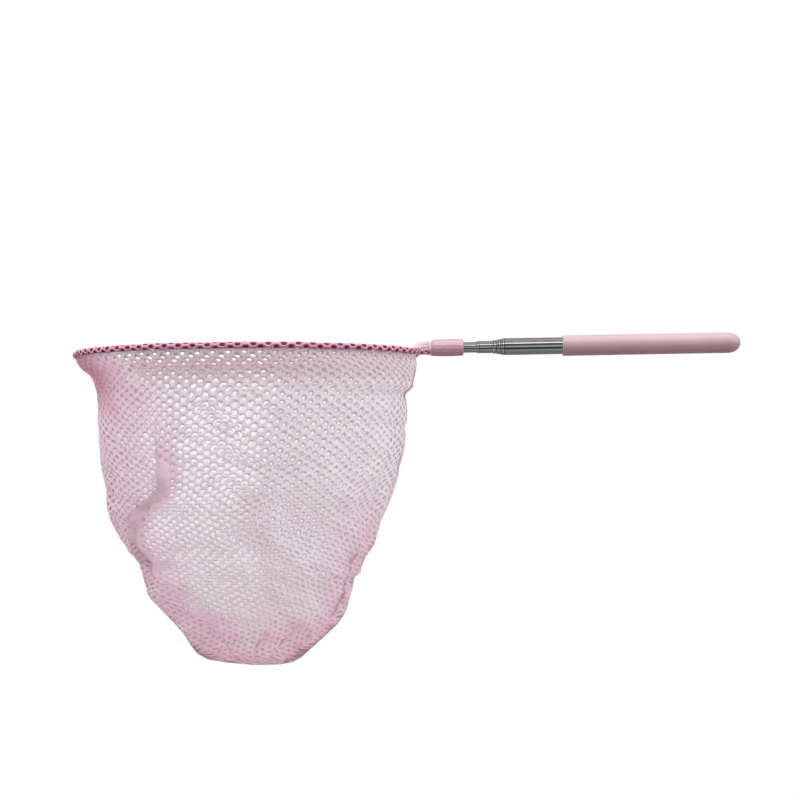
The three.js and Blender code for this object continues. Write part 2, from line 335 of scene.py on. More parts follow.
def bump(nt, height, strength, distance, bsdf, after=None):
    n = node(nt, "ShaderNodeBump")
    n.inputs["Strength"].default_value = strength
    n.inputs["Distance"].default_value = distance
    nt.links.new(height, n.inputs["Height"])
    if after is not None:
        nt.links.new(after, n.inputs["Normal"])
    nt.links.new(n.outputs["Normal"], bsdf.inputs["Normal"])
    return n.outputs["Normal"]


def lin(r, g, b):
    """Scene-linear colour of an sRGB triple 0..255."""
    out = []
    for c in (r, g, b):
        c /= 255.0
        out.append(c / 12.92 if c <= 0.04045 else ((c + 0.055) / 1.055) ** 2.4)
    return tuple(out)


def plastic(name, light, dark, rough, grain, specular=0.5, coat=0.0):
    """Moulded plastic: slow tone changes, a fine skin and rubbed patches."""
    m, nt, b, _ = material(name)
    v = coords(nt)
    slow = noise(nt, v, 55.0, 3.0)
    nt.links.new(ramp(nt, slow, [(0.3, dark), (0.7, light)]), b.inputs["Base Color"])
    wear = noise(nt, coords(nt, scale=(1.0, 3.0, 3.0)), 140.0, 5.0, 0.6)
    nt.links.new(spread(nt, wear, rough - 0.05, rough + 0.06), b.inputs["Roughness"])
    skin = noise(nt, v, 2600.0, 2.0)
    bump(nt, skin, grain, 0.00005, b)
    b.inputs["Specular IOR Level"].default_value = specular
    b.inputs["Coat Weight"].default_value = coat
    b.inputs["Coat Roughness"].default_value = 0.06
    b.inputs["Subsurface Weight"].default_value = 0.0
    return m


def metal(name, light, dark, rough, streak, strength):
    """Drawn metal: fine scratches along X and a little uneven polish."""
    m, nt, b, _ = material(name)
    b.inputs["Metallic"].default_value = 1.0
    fine = noise(nt, coords(nt, scale=streak), 1.0, 3.0, 0.65)
    slow = noise(nt, coords(nt, scale=(90.0, 160.0, 160.0)), 1.0, 3.0)
    nt.links.new(ramp(nt, slow, [(0.3, dark), (0.7, light)]), b.inputs["Base Color"])
    nt.links.new(spread(nt, fine, rough - 0.015, rough + 0.03), b.inputs["Roughness"])
    bump(nt, fine, strength, 0.00002, b)
    return m


def hole_spots(nt):
    """1 in the middle of each of the net's holes, from the fabric's own columns and rows."""
    xy = node(nt, "ShaderNodeSeparateXYZ")
    nt.links.new(coords(nt, uv="flat"), xy.inputs["Vector"])
    both = node(nt, "ShaderNodeMath", operation="MULTIPLY")
    for k, (axis, turn) in enumerate((("X", math.pi), ("Y", 2 * math.pi))):
        angle = node(nt, "ShaderNodeMath", operation="MULTIPLY")
        angle.inputs[1].default_value = turn
        nt.links.new(xy.outputs[axis], angle.inputs[0])
        wave = node(nt, "ShaderNodeMath", operation="COSINE")
        nt.links.new(angle.outputs[0], wave.inputs[0])
        nt.links.new(wave.outputs[0], both.inputs[k])
    spot = node(nt, "ShaderNodeMapRange")
    spot.inputs["From Min"].default_value = 0.25
    spot.inputs["From Max"].default_value = 0.8
    nt.links.new(both.outputs[0], spot.inputs["Value"])
    return spot.outputs["Result"]


def cloth(name, light, dark, shade, through, gathered=None, knit_bump=0.25, rough=0.78, sheen=0.25, painted_shade=None, deep=None):
    """Knitted polyester yarn.  The map "flat" holds the fabric's own columns and rows, so
    the little knit loops follow the net; light passes through the fine yarn.  The value
    "gather" tells where the fabric lies in several layers, which have the gathered colour
    and paler spots painted at their holes, painted light as if seen through them; above
    one it gives the deep colour, a darker pink, and below zero a greyer colour, painted
    shade on the front panel's strip under the hem.  On the hem the gathered colour is paler:
    partly its double fold, partly painted light."""
    m, nt, b, out = material(name)
    v = coords(nt)
    slow = noise(nt, v, 48.0, 3.0, 0.5)
    fuzz = noise(nt, v, 1900.0, 3.0, 0.6)
    flat = coords(nt, uv="flat", scale=(9.0, 11.0, 1.0))
    loops = node(nt, "ShaderNodeTexWave", wave_type="BANDS", bands_direction="DIAGONAL", wave_profile="SIN")
    loops.inputs["Scale"].default_value = 1.0
    loops.inputs["Distortion"].default_value = 2.2
    loops.inputs["Detail"].default_value = 2.0
    loops.inputs["Detail Scale"].default_value = 1.6
    nt.links.new(flat, loops.inputs["Vector"])
    base = ramp(nt, slow, [(0.32, dark), (0.68, light)])
    tone = ramp(nt, loops.outputs["Fac"], [(0.0, 0.0), (0.55, 1.0)])
    knit = mixed(nt, tone, shade, base)
    if gathered:
        layers_light_shade = node(nt, "ShaderNodeAttribute", attribute_name="gather")
        knit = mixed(nt, layers_light_shade.outputs["Fac"], knit, gathered)
        if deep:
            more = node(nt, "ShaderNodeMapRange")
            more.inputs["From Min"].default_value = 1.0
            more.inputs["From Max"].default_value = 2.0
            nt.links.new(layers_light_shade.outputs["Fac"], more.inputs["Value"])
            knit = mixed(nt, more.outputs["Result"], knit, deep)
        # paler spots at the holes where gather is above zero: painted light, as if seen through the holes
        below = node(nt, "ShaderNodeMath", operation="MULTIPLY", use_clamp=True)
        nt.links.new(hole_spots(nt), below.inputs[0])
        nt.links.new(layers_light_shade.outputs["Fac"], below.inputs[1])
        pale = node(nt, "ShaderNodeMath", operation="MULTIPLY")
        pale.inputs[1].default_value = 0.6
        nt.links.new(below.outputs[0], pale.inputs[0])
        knit = mixed(nt, pale.outputs[0], knit, light)
        # below zero a greyer colour is mixed in: painted shade
        if painted_shade:
            less = node(nt, "ShaderNodeMath", operation="MULTIPLY")
            less.inputs[1].default_value = -1.0
            nt.links.new(layers_light_shade.outputs["Fac"], less.inputs[0])
            knit = mixed(nt, less.outputs[0], knit, painted_shade)
    nt.links.new(knit, b.inputs["Base Color"])
    nt.links.new(spread(nt, fuzz, rough - 0.1, rough + 0.12), b.inputs["Roughness"])
    b.inputs["Sheen Weight"].default_value = sheen
    b.inputs["Sheen Roughness"].default_value = 0.45
    b.inputs["Specular IOR Level"].default_value = 0.3
    first = bump(nt, loops.outputs["Fac"], knit_bump, 0.00012, b)
    if gathered:
        first = bump(nt, below.outputs[0], 0.3, 0.0002, b, after=first)
    last = bump(nt, fuzz, 0.25, 0.00006, b, after=first)
    glow = node(nt, "ShaderNodeBsdfTranslucent")
    nt.links.new(knit, glow.inputs["Color"])
    nt.links.new(last, glow.inputs["Normal"])
    both = node(nt, "ShaderNodeMixShader")
    both.inputs["Fac"].default_value = through
    nt.links.new(b.outputs["BSDF"], both.inputs[1])
    nt.links.new(glow.outputs["BSDF"], both.inputs[2])
    nt.links.new(both.outputs["Shader"], out.inputs["Surface"])
    return m


GRIP = plastic("grip_pink", lin(205, 162, 172), lin(201, 157, 167), 0.40, 0.16, 0.8)
COLLAR = plastic("collar_pink", lin(207, 155, 171), lin(203, 151, 167), 0.13, 0.015, 0.5, 0.6)
COLLAR.node_tree.nodes["Principled BSDF"].inputs["Coat IOR"].default_value = 1.9
PLUG = plastic("plug_white", lin(224, 224, 219), lin(216, 216, 210), 0.45, 0.2)
STEEL = metal("tube_steel", (0.51, 0.51, 0.495), (0.45, 0.45, 0.44), 0.11, (60.0, 2600.0, 2600.0), 0.006)
WIRE = metal("wire_steel", (0.50, 0.51, 0.52), (0.42, 0.43, 0.44), 0.26, (300.0, 1800.0, 1800.0), 0.2)
BRASS = metal("spring_brass", (0.66, 0.49, 0.20), (0.56, 0.41, 0.16), 0.28, (220.0, 1600.0, 1600.0), 0.2)
SHEATH = plastic("sheath_magenta", lin(140, 22, 74), lin(120, 16, 62), 0.38, 0.2, 0.4)
# the hem's yarn is painted pinker than the bag's: the magenta sheath showing through the translucent yarn, painted into
# its colour
HEM = cloth("hem_net", lin(248, 180, 207), lin(243, 168, 198), lin(236, 152, 186), 0.15, lin(254, 202, 218))
NECK = cloth("neck_net", lin(251, 228, 235), lin(249, 221, 230), lin(246, 212, 223), 0.4, None, 0.12)
# the greyer colour for gather below zero is painted shade on the front panel's strip under the hem
NET = cloth("net_yarn", lin(247, 241, 244), lin(245, 236, 240), lin(242, 230, 235), 0.5, lin(245, 216, 228), painted_shade=lin(237, 221, 227), deep=lin(222, 166, 186))
THREAD = cloth("seam_thread", lin(246, 222, 230), lin(240, 212, 222), lin(230, 196, 209), 0.35)


# ---------------------------------------------------------------- turned pieces
def carry(ob, body, slot, *nodes):
    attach(ob, body)
    if nodes:
        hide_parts(*nodes)
    return ob


def grip():
    run = [
        (44.75, 0.0), (44.75, GRIP_BORE), (GRIP_FRONT + 0.35, GRIP_BORE), (GRIP_FRONT, GRIP_BORE + 0.25),
        (GRIP_FRONT, GRIP_R - 0.42), (GRIP_FRONT + 0.42, GRIP_R),
    ]
    pts = [run[0]] + rounded(run[1:], 0.22)
    centre = GRIP_BACK - GRIP_DOME
    dome = [
        (centre + GRIP_DOME * math.sin(a), GRIP_R * math.cos(a))
        for a in np.linspace(0, math.pi / 2, 21)
    ]
    pts += [(x, GRIP_R) for x in np.linspace(GRIP_FRONT + 4, centre - 4, 9)] + dome[:-1] + [(GRIP_BACK, 0.0)]
    carry(lathe("grip_sleeve_skin", pts, GRIP, 96, 40), "handle", "grip_pink", "grip_sleeve")


def tube(index, body, node_name):
    r, tip, rear = TUBES[index]
    inner = r - WALL
    if index < 4:
        lip = TUBES[index + 1][0] + 0.06
        cut = 0.10 if index == 3 else 0.18  # the groove behind the rolled lip
        pts = [
            (tip + 2.3, inner), (tip + 1.75, lip + 0.05), (tip + 1.5, lip), (tip + 0.12, lip), (tip + 0.02, lip + 0.04),
            (tip, lip + 0.12), (tip + 0.04, r - 0.22), (tip + 0.16, r - 0.1), (tip + 0.34, r - 0.02), (tip + 0.56, r),
            (tip + 0.78, r - 0.14 * cut), (tip + 0.96, r - 0.55 * cut), (tip + 1.1, r - 0.9 * cut), (tip + 1.28, r - cut),
            (tip + 1.46, r - 0.82 * cut), (tip + 1.64, r - 0.27 * cut), (tip + 1.86, r),
        ]
    else:
        pts = [(tip + 0.1, inner), (tip, inner + 0.08), (tip, r - 0.1), (tip + 0.12, r)]
    if index > 0:
        back = rear - 1.8
        front = back - 6.4
        pts += [(front, r), (front + 0.02, r - 0.12), (back - 0.02, r - 0.12), (back, r)]
    pts += [(rear - 0.08, r), (rear, r - 0.08), (rear, inner)]
    carry(lathe(node_name + "_skin", pts, STEEL, 96, 32), body, "tube_steel", node_name)


def collar():
    outer = [
        (-118.8, 3.22), (-118.8, 3.95), (COLLAR_FRONT + 0.25, 3.95), (COLLAR_FRONT, 4.06), (COLLAR_FRONT, 4.26),
        (COLLAR_FRONT + 0.25, 4.52), (COLLAR_FRONT + 1.0, 4.64), (-124.8, 4.73), (-123.0, 4.83), (-121.0, 4.9), (-119.0, 4.94), (-117.0, 4.95),
        (-115.0, 4.92), (-113.0, 4.86), (-111.0, 4.77), (-109.8, 4.66), (-109.25, 4.46), (-109.0, 4.1),
        (-109.0, 3.5), (-109.2, 3.22),
    ]
    pts = rounded(outer, 0.4, 4)
    carry(lathe("collar_skin", pts, COLLAR, 96, 50), "head", "collar_pink", "collar")


grip()
tube(0, "handle", "tube_1_outer")
tube(1, "stage_2", "tube_2")
tube(2, "stage_3", "tube_3")
tube(3, "stage_4", "tube_4")
tube(4, "head", "tube_5_tip")
collar()

# the pieces that stay inside keep their CAD shapes
for name, mat in (
    ("butt_plug", PLUG), ("collar_core", PLUG), ("friction_spring_2", BRASS), ("friction_spring_3", BRASS),
    ("friction_spring_4", BRASS), ("friction_spring_5", BRASS),
):
    ob = frame["nodes"][name]
    ob.data.materials.clear()
    ob.data.materials.append(mat)


# ---------------------------------------------------------------- hoop
def hoop_z(a):
    """The ring's height at an angle from the neck."""
    near = NECK_LIFT * np.exp(-(((np.asarray(a) + math.pi) % (2 * math.pi) - math.pi) / 0.2) ** 2)
    return -HOOP_DROP - HOOP_SAG * np.sin(a) ** 2 + HOOP_RISE * (1 - np.cos(a)) / 2 + near


def hoop_path(leg_to, leg_y, leg_z=LEG_Z, bend_z=LEG_Z, step=1.2):
    """The wire's centre line: leg, bend, ring, bend, leg.  leg_y is the legs' distance from
    the middle at the collar, leg_z their height there and bend_z where the bend starts."""
    cy = -LEG_Y - BEND_R
    cx = HOOP_X + math.sqrt((HOOP_R + BEND_R) ** 2 - cy * cy)
    meet = math.atan2(cy, cx - HOOP_X)
    half = []
    n = max(3, int((leg_to - cx) / step))
    for k in range(n):
        t = k / n
        half.append((leg_to + (cx - leg_to) * t, -(leg_y + (LEG_Y - leg_y) * t), leg_z + (bend_z - leg_z) * t))
    end = math.pi + meet
    for t in np.linspace(0, 1, 10, endpoint=False):
        a = math.pi / 2 + (end - math.pi / 2) * t
        half.append((cx + BEND_R * math.cos(a), cy + BEND_R * math.sin(a), bend_z + (float(hoop_z(meet)) - bend_z) * t ** 1.4))
    span = 2 * math.pi - 2 * abs(meet)
    count = int(HOOP_R * span / step)
    ring = [
        (HOOP_X + HOOP_R * math.cos(a), HOOP_R * math.sin(a), float(hoop_z(a)))
        for a in np.linspace(meet, meet - span, count)
    ]
    back = [(x, -y, z) for x, y, z in reversed(half)]
    return np.array(half + ring + back)


def along(path):
    """Distance along the path, and its point, sideways direction at a distance."""
    d = np.concatenate([[0], np.cumsum(np.linalg.norm(np.diff(path, axis=0), axis=1))])

    def at(s):
        p = np.stack([np.interp(s, d, path[:, k]) for k in range(3)], 1)
        q = np.stack([np.interp(np.clip(s + 0.6, 0, d[-1]), d, path[:, k]) for k in range(3)], 1)
        o = np.stack([np.interp(np.clip(s - 0.6, 0, d[-1]), d, path[:, k]) for k in range(3)], 1)
        tan = q - o
        tan /= np.linalg.norm(tan, axis=1)[:, None]
        side = np.stack([-tan[:, 1], tan[:, 0], np.zeros(len(tan))], 1)
        return p, side

    return d[-1], at


wire_path = hoop_path(LEG_END, LEG_Y)
carry(tube_along("hoop_wire_skin", wire_path, WIRE_R, WIRE, 12), "head", "wire_steel", "hoop_wire")
sheath_path = hoop_path(-126.0, 1.25, -1.6, -1.8)
far = np.linalg.norm(sheath_path - np.array([-126.0, 0, 0]), axis=1)
carry(
    tube_along("hoop_sheath_skin", sheath_path, np.interp(far, [0, 4, 12], [1.25, 1.35, SHEATH_R]), SHEATH, 16),
    "head", "sheath_magenta", "hoop_sheath",
)


# ---------------------------------------------------------------- knitted net
RING = np.array([
    (4, 0), (3, 1), (2, 2), (0, 2), (-2, 2), (-3, 1), (-4, 0), (-3, -1), (-2, -2), (0, -2), (2, -2), (3, -1),
])


def net(cells, hole, seed, wrap=None, wobble=0.05, shrink=None, shut=0.0, rise=0.0):
    """The net's flat mesh.  cells are (column, row) holes in staggered columns.  Each hole
    is a ring that is shared by the two faces of the yarn, and the yarn's ridges run between
    the holes; a hole that has shrunk below shut is closed, with a dimple in its place.  Gives
    columns, rows, height (1 ridge of the outer face, -1 of the inner face, rise at the edge of
    a hole that is small, 0 at the others), faces and the points on the border."""
    cells = np.asarray(cells)
    i, j = cells[:, 0], cells[:, 1]
    kx = 6 * i[:, None] + RING[None, :, 0]
    ky = 4 * j[:, None] + 2 * (i[:, None] & 1) + RING[None, :, 1]
    key_y = ky % (4 * wrap) if wrap else ky
    key = (kx + 5000) * 20000 + (key_y + 5000)
    uniq, first, inv = np.unique(key.ravel(), return_index=True, return_inverse=True)
    inv = inv.reshape(key.shape)
    bc, br = kx.ravel()[first] / 6.0, key_y.ravel()[first] / 4.0
    nb, nc = len(uniq), len(cells)
    rng = np.random.RandomState(seed)
    bc = bc + rng.normal(0, wobble, nb) * 0.7
    br = br + rng.normal(0, wobble, nb) * 0.7
    ang = np.arctan2(RING[:, 1] / 2.0, RING[:, 0] / 4.0)
    left = np.ones(nc) if shrink is None else shrink(cells)
    size = rng.normal(1.0, 0.06, (nc, 1)) * left[:, None]
    shift = rng.normal(0, wobble * 0.6, (nc, 2))
    hc = i[:, None] + np.cos(ang)[None] * hole[0] * size + shift[:, :1]
    hr = j[:, None] + 0.5 * (i[:, None] & 1) + np.sin(ang)[None] * hole[1] * size + shift[:, 1:]
    there = left > shut
    count, closed = int(there.sum()), int((~there).sum())
    mc = i[~there] + shift[~there, 0]
    mr = j[~there] + 0.5 * (i[~there] & 1) + shift[~there, 1]
    columns = np.concatenate([bc, bc, hc[there].ravel(), mc, mc])
    rows = np.concatenate([br, br, hr[there].ravel(), mr, mr])
    dimple = np.full(closed, 0.3)
    height = np.concatenate([np.ones(nb), -np.ones(nb), np.repeat(rise * np.clip((0.6 - left[there]) / 0.3, 0, 1), 12), dimple, -dimple])
    h = 2 * nb + np.arange(count * 12).reshape(count, 12)
    f, n = inv, np.roll(inv, -1, 1)
    hn = np.roll(h, -1, 1)
    front = [np.stack([f[there], n[there], hn, h], -1).reshape(-1, 4)]
    back = [np.stack([n[there] + nb, f[there] + nb, h, hn], -1).reshape(-1, 4)]
    m = 2 * nb + count * 12 + np.arange(closed)
    for k in range(0, 12, 2):
        a, b, c = f[~there][:, k], f[~there][:, k + 1], f[~there][:, (k + 2) % 12]
        front.append(np.stack([a, b, c, m], -1))
        back.append(np.stack([c + nb, b + nb, a + nb, m + closed], -1))
    lo, hi = np.minimum(f, n).ravel(), np.maximum(f, n).ravel()
    pair = lo.astype(np.int64) * 10000000 + hi
    _, where, count = np.unique(pair, return_inverse=True, return_counts=True)
    edge = count[where] == 1
    fe, ne = f.ravel()[edge], n.ravel()[edge]
    rim = np.stack([ne, fe, fe + nb, ne + nb], -1)
    border = np.unique(np.concatenate([fe, ne]))
    return columns, rows, height, np.concatenate([*front, *back, rim]), np.concatenate([border, border + nb])


def raise_net(surface, columns, rows, height, thick, turn=1.0):
    """Points of a net on a surface: surface(columns, rows) gives millimetre points."""
    e = 0.06
    p = surface(columns, rows)
    du = surface(columns + e, rows) - surface(columns - e, rows)
    dv = surface(columns, rows + e) - surface(columns, rows - e)
    nrm = np.cross(du, dv)
    ln = np.linalg.norm(nrm, axis=1)
    nrm = nrm / np.maximum(ln, 1e-9)[:, None] * turn
    return p + nrm * (height * thick)[:, None]


# --- the bag's surface
z_left, z_right = table(LEFT), table(RIGHT)
z_depth, z_power = table(DEPTH, 1), table(DEPTH, 2)
LEVELS = np.linspace(BAG_TOP, BAG_END, 320)
SPAN = 361


def sections():
    """For each level: the section's length and the angle at equal steps of length."""
    th = np.linspace(0, math.pi, 721)
    length, angle = [], []
    for z in LEVELS:
        a, b, p = (z_right(z) - z_left(z)) / 2, z_depth(z), z_power(z)
        x, y = -a * np.cos(th), b * np.sin(th).clip(0) ** p
        d = np.concatenate([[0], np.cumsum(np.hypot(np.diff(x), np.diff(y)))])
        length.append(d[-1])
        angle.append(np.interp(np.linspace(0, 1, SPAN), d / d[-1], th))
    return np.array(length), np.array(angle)


ARC, ANGLE = sections()
_mid = z_depth(LEVELS)
FALL = np.concatenate([[0], np.cumsum(np.hypot(np.diff(LEVELS), np.diff(_mid)))])
FABRIC = FALL[-1]  # length of the panel from hem to bottom seam


def angle_at(z, part):
    """Angle on the section at height z, part (0..1) of the way along it."""
    u = np.clip((z - LEVELS[0]) / (LEVELS[-1] - LEVELS[0]) * (len(LEVELS) - 1), 0, len(LEVELS) - 1.001)
    v = np.clip(part, 0, 1) * (SPAN - 1.001)
    i, j = u.astype(int), v.astype(int)
    fu, fv = u - i, v - j
    a = ANGLE
    return (
        a[i, j] * (1 - fu) * (1 - fv) + a[i + 1, j] * fu * (1 - fv)
        + a[i, j + 1] * (1 - fu) * fv + a[i + 1, j + 1] * fu * fv
    )


class Pleat:
    """A fold in a panel: where (height, part of the width), how deep (height, amount)."""

    def __init__(self, where, deep, wide=0.016, lift=1.5):
        self.where, self.deep = table(where), table(deep)
        self.most = max(d for _, d in deep)
        self.wide, self.lift = wide, lift


PLEATS = {
    -1: [
        Pleat(
            [(-32, 0.325), (-50, 0.318), (-70, 0.312), (-78, 0.285), (-90, 0.218), (-105, 0.16), (-120, 0.13), (-140, 0.12), (-170, 0.13)],
            [(-22, 0), (-40, 0.012), (-58, 0.027), (-70, 0.04), (-85, 0.052), (-105, 0.055), (-118, 0.036), (-132, 0.014), (-148, 0.0)], 0.016, 0.9,
        ),
        Pleat(
            [(-80, 0.82), (-105, 0.86), (-120, 0.885), (-140, 0.9), (-165, 0.89)],
            [(-78, 0), (-100, 0.016), (-125, 0.026), (-150, 0.022), (-172, 0.01), (-180, 0)], 0.016, 0.8,
        ),
        Pleat([(-138, 0.24), (-160, 0.27), (-181, 0.32)], [(-138, 0), (-155, 0.018), (-172, 0.026), (-181, 0.02)], 0.018, 0.7),
        Pleat([(-148, 0.56), (-181, 0.5)], [(-150, 0), (-164, 0.018), (-181, 0.022)], 0.02, 0.6),
        Pleat([(-146, 0.73), (-181, 0.68)], [(-146, 0), (-160, 0.018), (-181, 0.02)], 0.018, 0.6),
        Pleat([(-6, 0.955), (-60, 0.95), (-96, 0.94)], [(-6, 0), (-16, 0.02), (-60, 0.018), (-96, 0)], 0.010, 1.0),
        Pleat([(-10, 0.06), (-60, 0.06)], [(-8, 0), (-18, 0.018), (-48, 0.014), (-72, 0)], 0.010, 0.9),
    ],
    1: [
        Pleat(
            [(-40, 0.70), (-80, 0.74), (-120, 0.83), (-160, 0.84)],
            [(-38, 0), (-70, 0.03), (-110, 0.045), (-150, 0.035), (-178, 0)], 0.016, 1.6,
        ),
        Pleat([(-60, 0.13), (-110, 0.11), (-150, 0.12)], [(-60, 0), (-95, 0.035), (-140, 0.04), (-175, 0)], 0.015, 1.5),
        Pleat([(-140, 0.42), (-181, 0.46)], [(-142, 0), (-160, 0.03), (-181, 0.035)], 0.017, 1.1),
        Pleat([(-150, 0.62), (-181, 0.6)], [(-150, 0), (-166, 0.03), (-181, 0.03)], 0.016, 1.1),
    ],
}
sag_of = table([(0, 0), (8, 0.6), (30, 5.0), (60, 8.0), (120, 8.0), (160, 5.0), (185, 2.0), (200, 0.3), (206, 0.0), (260, 0.0)])


def z_of(t):
    return np.interp(t, FALL, LEVELS)


def fabric_columns(side):
    """Net columns across the panel at each level: all of them near the hem, fewer below,
    where the side seams cut them off."""
    used = np.zeros(len(LEVELS))
    for p in PLEATS[side]:
        used += 2 * p.deep(LEVELS)
    across = ARC / (1 - used) / COLUMN
    return np.minimum.accumulate(np.minimum(COLUMNS, across))


def bag(side):
    """The surface of one panel (-1 front, 1 back): net columns from its middle and rows from
    the hem to points."""
    wide = fabric_columns(side)

    def across(rows):
        return np.interp(np.clip(rows * ROW, 0, FABRIC), FALL, wide)

    def surface(columns, rows):
        t = np.clip(rows * ROW, 0.0, FABRIC)
        s = np.clip(2 * columns / across(rows), -0.999, 0.999)
        zc = z_of(t)
        g = (s + 1) / 2
        z = np.maximum(zc - sag_of(t) * (1 - s * s), BAG_END)
        part, lift = g.copy(), np.zeros_like(g)
        lo, hi = np.zeros_like(g), np.ones_like(g)
        for p in PLEATS[side]:
            w, d = p.where(zc), p.deep(zc)
            q = (g - w) / p.wide
            part -= d * np.tanh(q)
            lo -= d * np.tanh(-w / p.wide)
            hi -= d * np.tanh((1 - w) / p.wide)
            lift += p.lift * (d / p.most) * np.tanh(q) * np.exp(-((q / 3.2) ** 2))
        part = (part - lo) / (hi - lo)
        th = angle_at(z, part)
        a, b, pw = (z_right(z) - z_left(z)) / 2, z_depth(z), z_power(z)
        c, sn = np.cos(th), np.sin(th).clip(0)
        x = (z_right(z) + z_left(z)) / 2 - a * c
        y = side * (0.45 + b * sn ** pw)
        nx, ny = -c * b, side * sn * a
        ln = np.maximum(np.hypot(nx, ny), 1e-6)
        nx, ny = nx / ln, ny / ln
        flat = np.stack([columns * COLUMN, rows * ROW], 1)
        down = np.clip((-zc - 14) / 70, 0, 1)
        low = np.clip((-zc - 128) / 40, 0, 1)
        edge = np.clip((1 - np.abs(s)) / 0.10, 0.0, 1)
        room = np.clip(b / 14, 0.0, 1)
        soft = (
            1.5 * down * wander(flat, 38.0, 11 + side) * edge
            + 0.55 * (0.3 + 0.7 * down) * wander(flat, 15.0, 21 + side) * edge
            + 0.5 * low * wander(flat, 9.0, 31 + side) * edge
        )
        top = np.clip((-zc - 1.7) / 7, 0, 1)
        lift = lift * np.clip((1 - np.abs(s)) / 0.10, 0, 1)
        n = (lift + soft * top) * room
        zz = z + 0.25 * low * wander(flat, 11.0, 41 + side) * room * edge
        zz = zz + hoop_z(math.pi - th) * np.clip(1 - t / 26.0, 0, 1) ** 1.5
        x = x + nx * n
        x = np.maximum(x, np.minimum(x + 9, z_left(zz) + 0.15))
        x = np.minimum(x, np.maximum(x - 9, z_right(zz) - 0.15))
        return np.stack([x, y + ny * n, zz], 1)

    def folded(columns, rows):
        """Where the fabric lies in the three layers of a pleat."""
        zc = z_of(np.clip(rows * ROW, 0.0, FABRIC))
        g = (np.clip(2 * columns / across(rows), -1, 1) + 1) / 2
        out = np.zeros_like(g)
        for p in PLEATS[side]:
            q = (g - p.where(zc)) / p.wide
            mid = np.interp(-zc, [70, 95], [1.4, 2.5])
            out = np.maximum(out, np.clip(1.6 * p.deep(zc) / p.most, 0, 1) * np.exp(-(((q - mid) / (mid + 1.6)) ** 4)))
        return out

    def gathered(columns, rows):
        t = np.clip(rows * ROW, 0.0, FABRIC)
        s = np.clip(2 * columns / across(rows), -1, 1)
        zc, g = z_of(t), (s + 1) / 2
        out = np.clip((-zc - 142) / 36, 0, 1) ** 2 * 0.75
        out += np.clip((np.abs(s) - 0.84) / 0.14, 0, 1) * np.interp(-zc, [6, 40, 90, 140], [0.7, 0.3, 0.35, 0.6])
        out += 0.6 * np.clip((-s - 0.35) / 0.3, 0, 1)
        out += 0.7 * np.clip((-s - 0.35) / 0.25, 0, 1) * np.clip((45 - t) / 25, 0, 1)
        out += 0.6 * np.clip((s - 0.42) / 0.3, 0, 1) * np.clip((-zc - 98) / 14, 0, 1)
        out = np.maximum(out, 0.75 * folded(columns, rows))
        out += 0.35 * np.clip(1 - t / 30, 0, 1) * np.abs(s) ** 2
        f = np.stack([columns * COLUMN, rows * ROW], 1)
        out = np.clip(out * (1 + 0.18 * wander(f, 21.0, 151 + side)), 0, 1)
        out += np.clip((-s - 0.42) / 0.35, 0, 1) * np.clip((36 - t) / 18, 0, 1)
        # the front panel's strip under the hem goes below zero: painted shade there, greyer than the rest of the net
        painted_shade_strip = np.clip((22 - t) / 7, 0, 1) * np.clip((0.92 - s) / 0.2, 0, 1) * np.clip((s + 0.72) / 0.3, 0, 1)
        return out - painted_shade_strip * (side < 0)

    return surface, across, gathered, folded


def panel(side, name, node_name, open_by):
    surface, across, gathered, folded = bag(side)
    cells = []
    last = int(FABRIC / ROW) + 1
    for i in range(-COLUMNS // 2 - 1, COLUMNS // 2 + 2):
        for j in range(0, last + 1):
            row = j + 0.5 * (i & 1)
            if row * ROW < 0.2 * ROW or row * ROW > FABRIC - 0.2 * ROW:
                continue
            if abs(i) > across(np.array([row]))[0] / 2 - 0.35:
                continue
            cells.append((i, j))
    where = lambda c: (c[:, 0].astype(float), c[:, 1] + 0.5 * (c[:, 0] & 1))
    tight = lambda c: np.interp(c[:, 1], [0, 2, 4.5, 8], [0.58, 0.62, 0.82, 1.0]) * np.interp(c[:, 1], *open_by) * (1 - np.maximum(np.maximum(0.9 * gathered(*where(c)).clip(0, 1), 0.97 * folded(*where(c))), 0.95 * np.clip((c[:, 1] * ROW - FABRIC + 50) / 26, 0, 1))) * (1 - 0.45 * (side < 0) * np.clip((2 * c[:, 0] / across(c[:, 1] + 0.5 * (c[:, 0] & 1)) - 0.06) / 0.08, 0, 1))
    left = tight(np.array(cells))
    # the holes on the back of the left folds are shut, except near the bottom
    at = where(np.array(cells))
    shut = 0.3 * (folded(*at) > 0.6) * (at[1] * ROW < FABRIC - 45) * (at[0] < 0)
    col, row, height, faces, border = net(cells, (HOLE_X / COLUMN, HOLE_Y / ROW), 5 + side, shrink=lambda c: left, shut=shut, rise=0.7 * (side < 0))
    end = FABRIC / ROW
    r = row[border]
    r = np.where(r < 0.75, 0.0, np.where(r > end - 0.75, end, r))
    half = across(r) / 2
    inner = (r == 0.0) | (r == end)
    c = np.where(inner & (np.abs(col[border]) < half - 0.8), col[border], np.sign(col[border]) * half * 0.9995)
    col[border], row[border] = c, r
    verts = raise_net(surface, col, row, height, YARN, float(side))
    faces = flipped(verts, faces)
    ob = put(name, verts, faces, NET, uv=np.stack([col, row], 1), gather=gathered(col, row))
    carry(ob, "head", "net_fabric", node_name)
    solid = (COLUMN * ROW - math.pi * HOLE_X * HOLE_Y * np.where(left > shut, left, 0) ** 2).sum() * 1e-6
    return ob, solid, len(cells)


front_net, front_area, front_cells = panel(-1, "net_front", "bag_front_panel", ([16, 31, 46], [1.0, 0.9, 0.78]))
back_net, back_area, back_cells = panel(1, "net_back", "bag_back_panel", ([0, 3, 5, 11, 22, 46], [1.0, 0.74, 0.56, 0.46, 0.42, 0.38]))


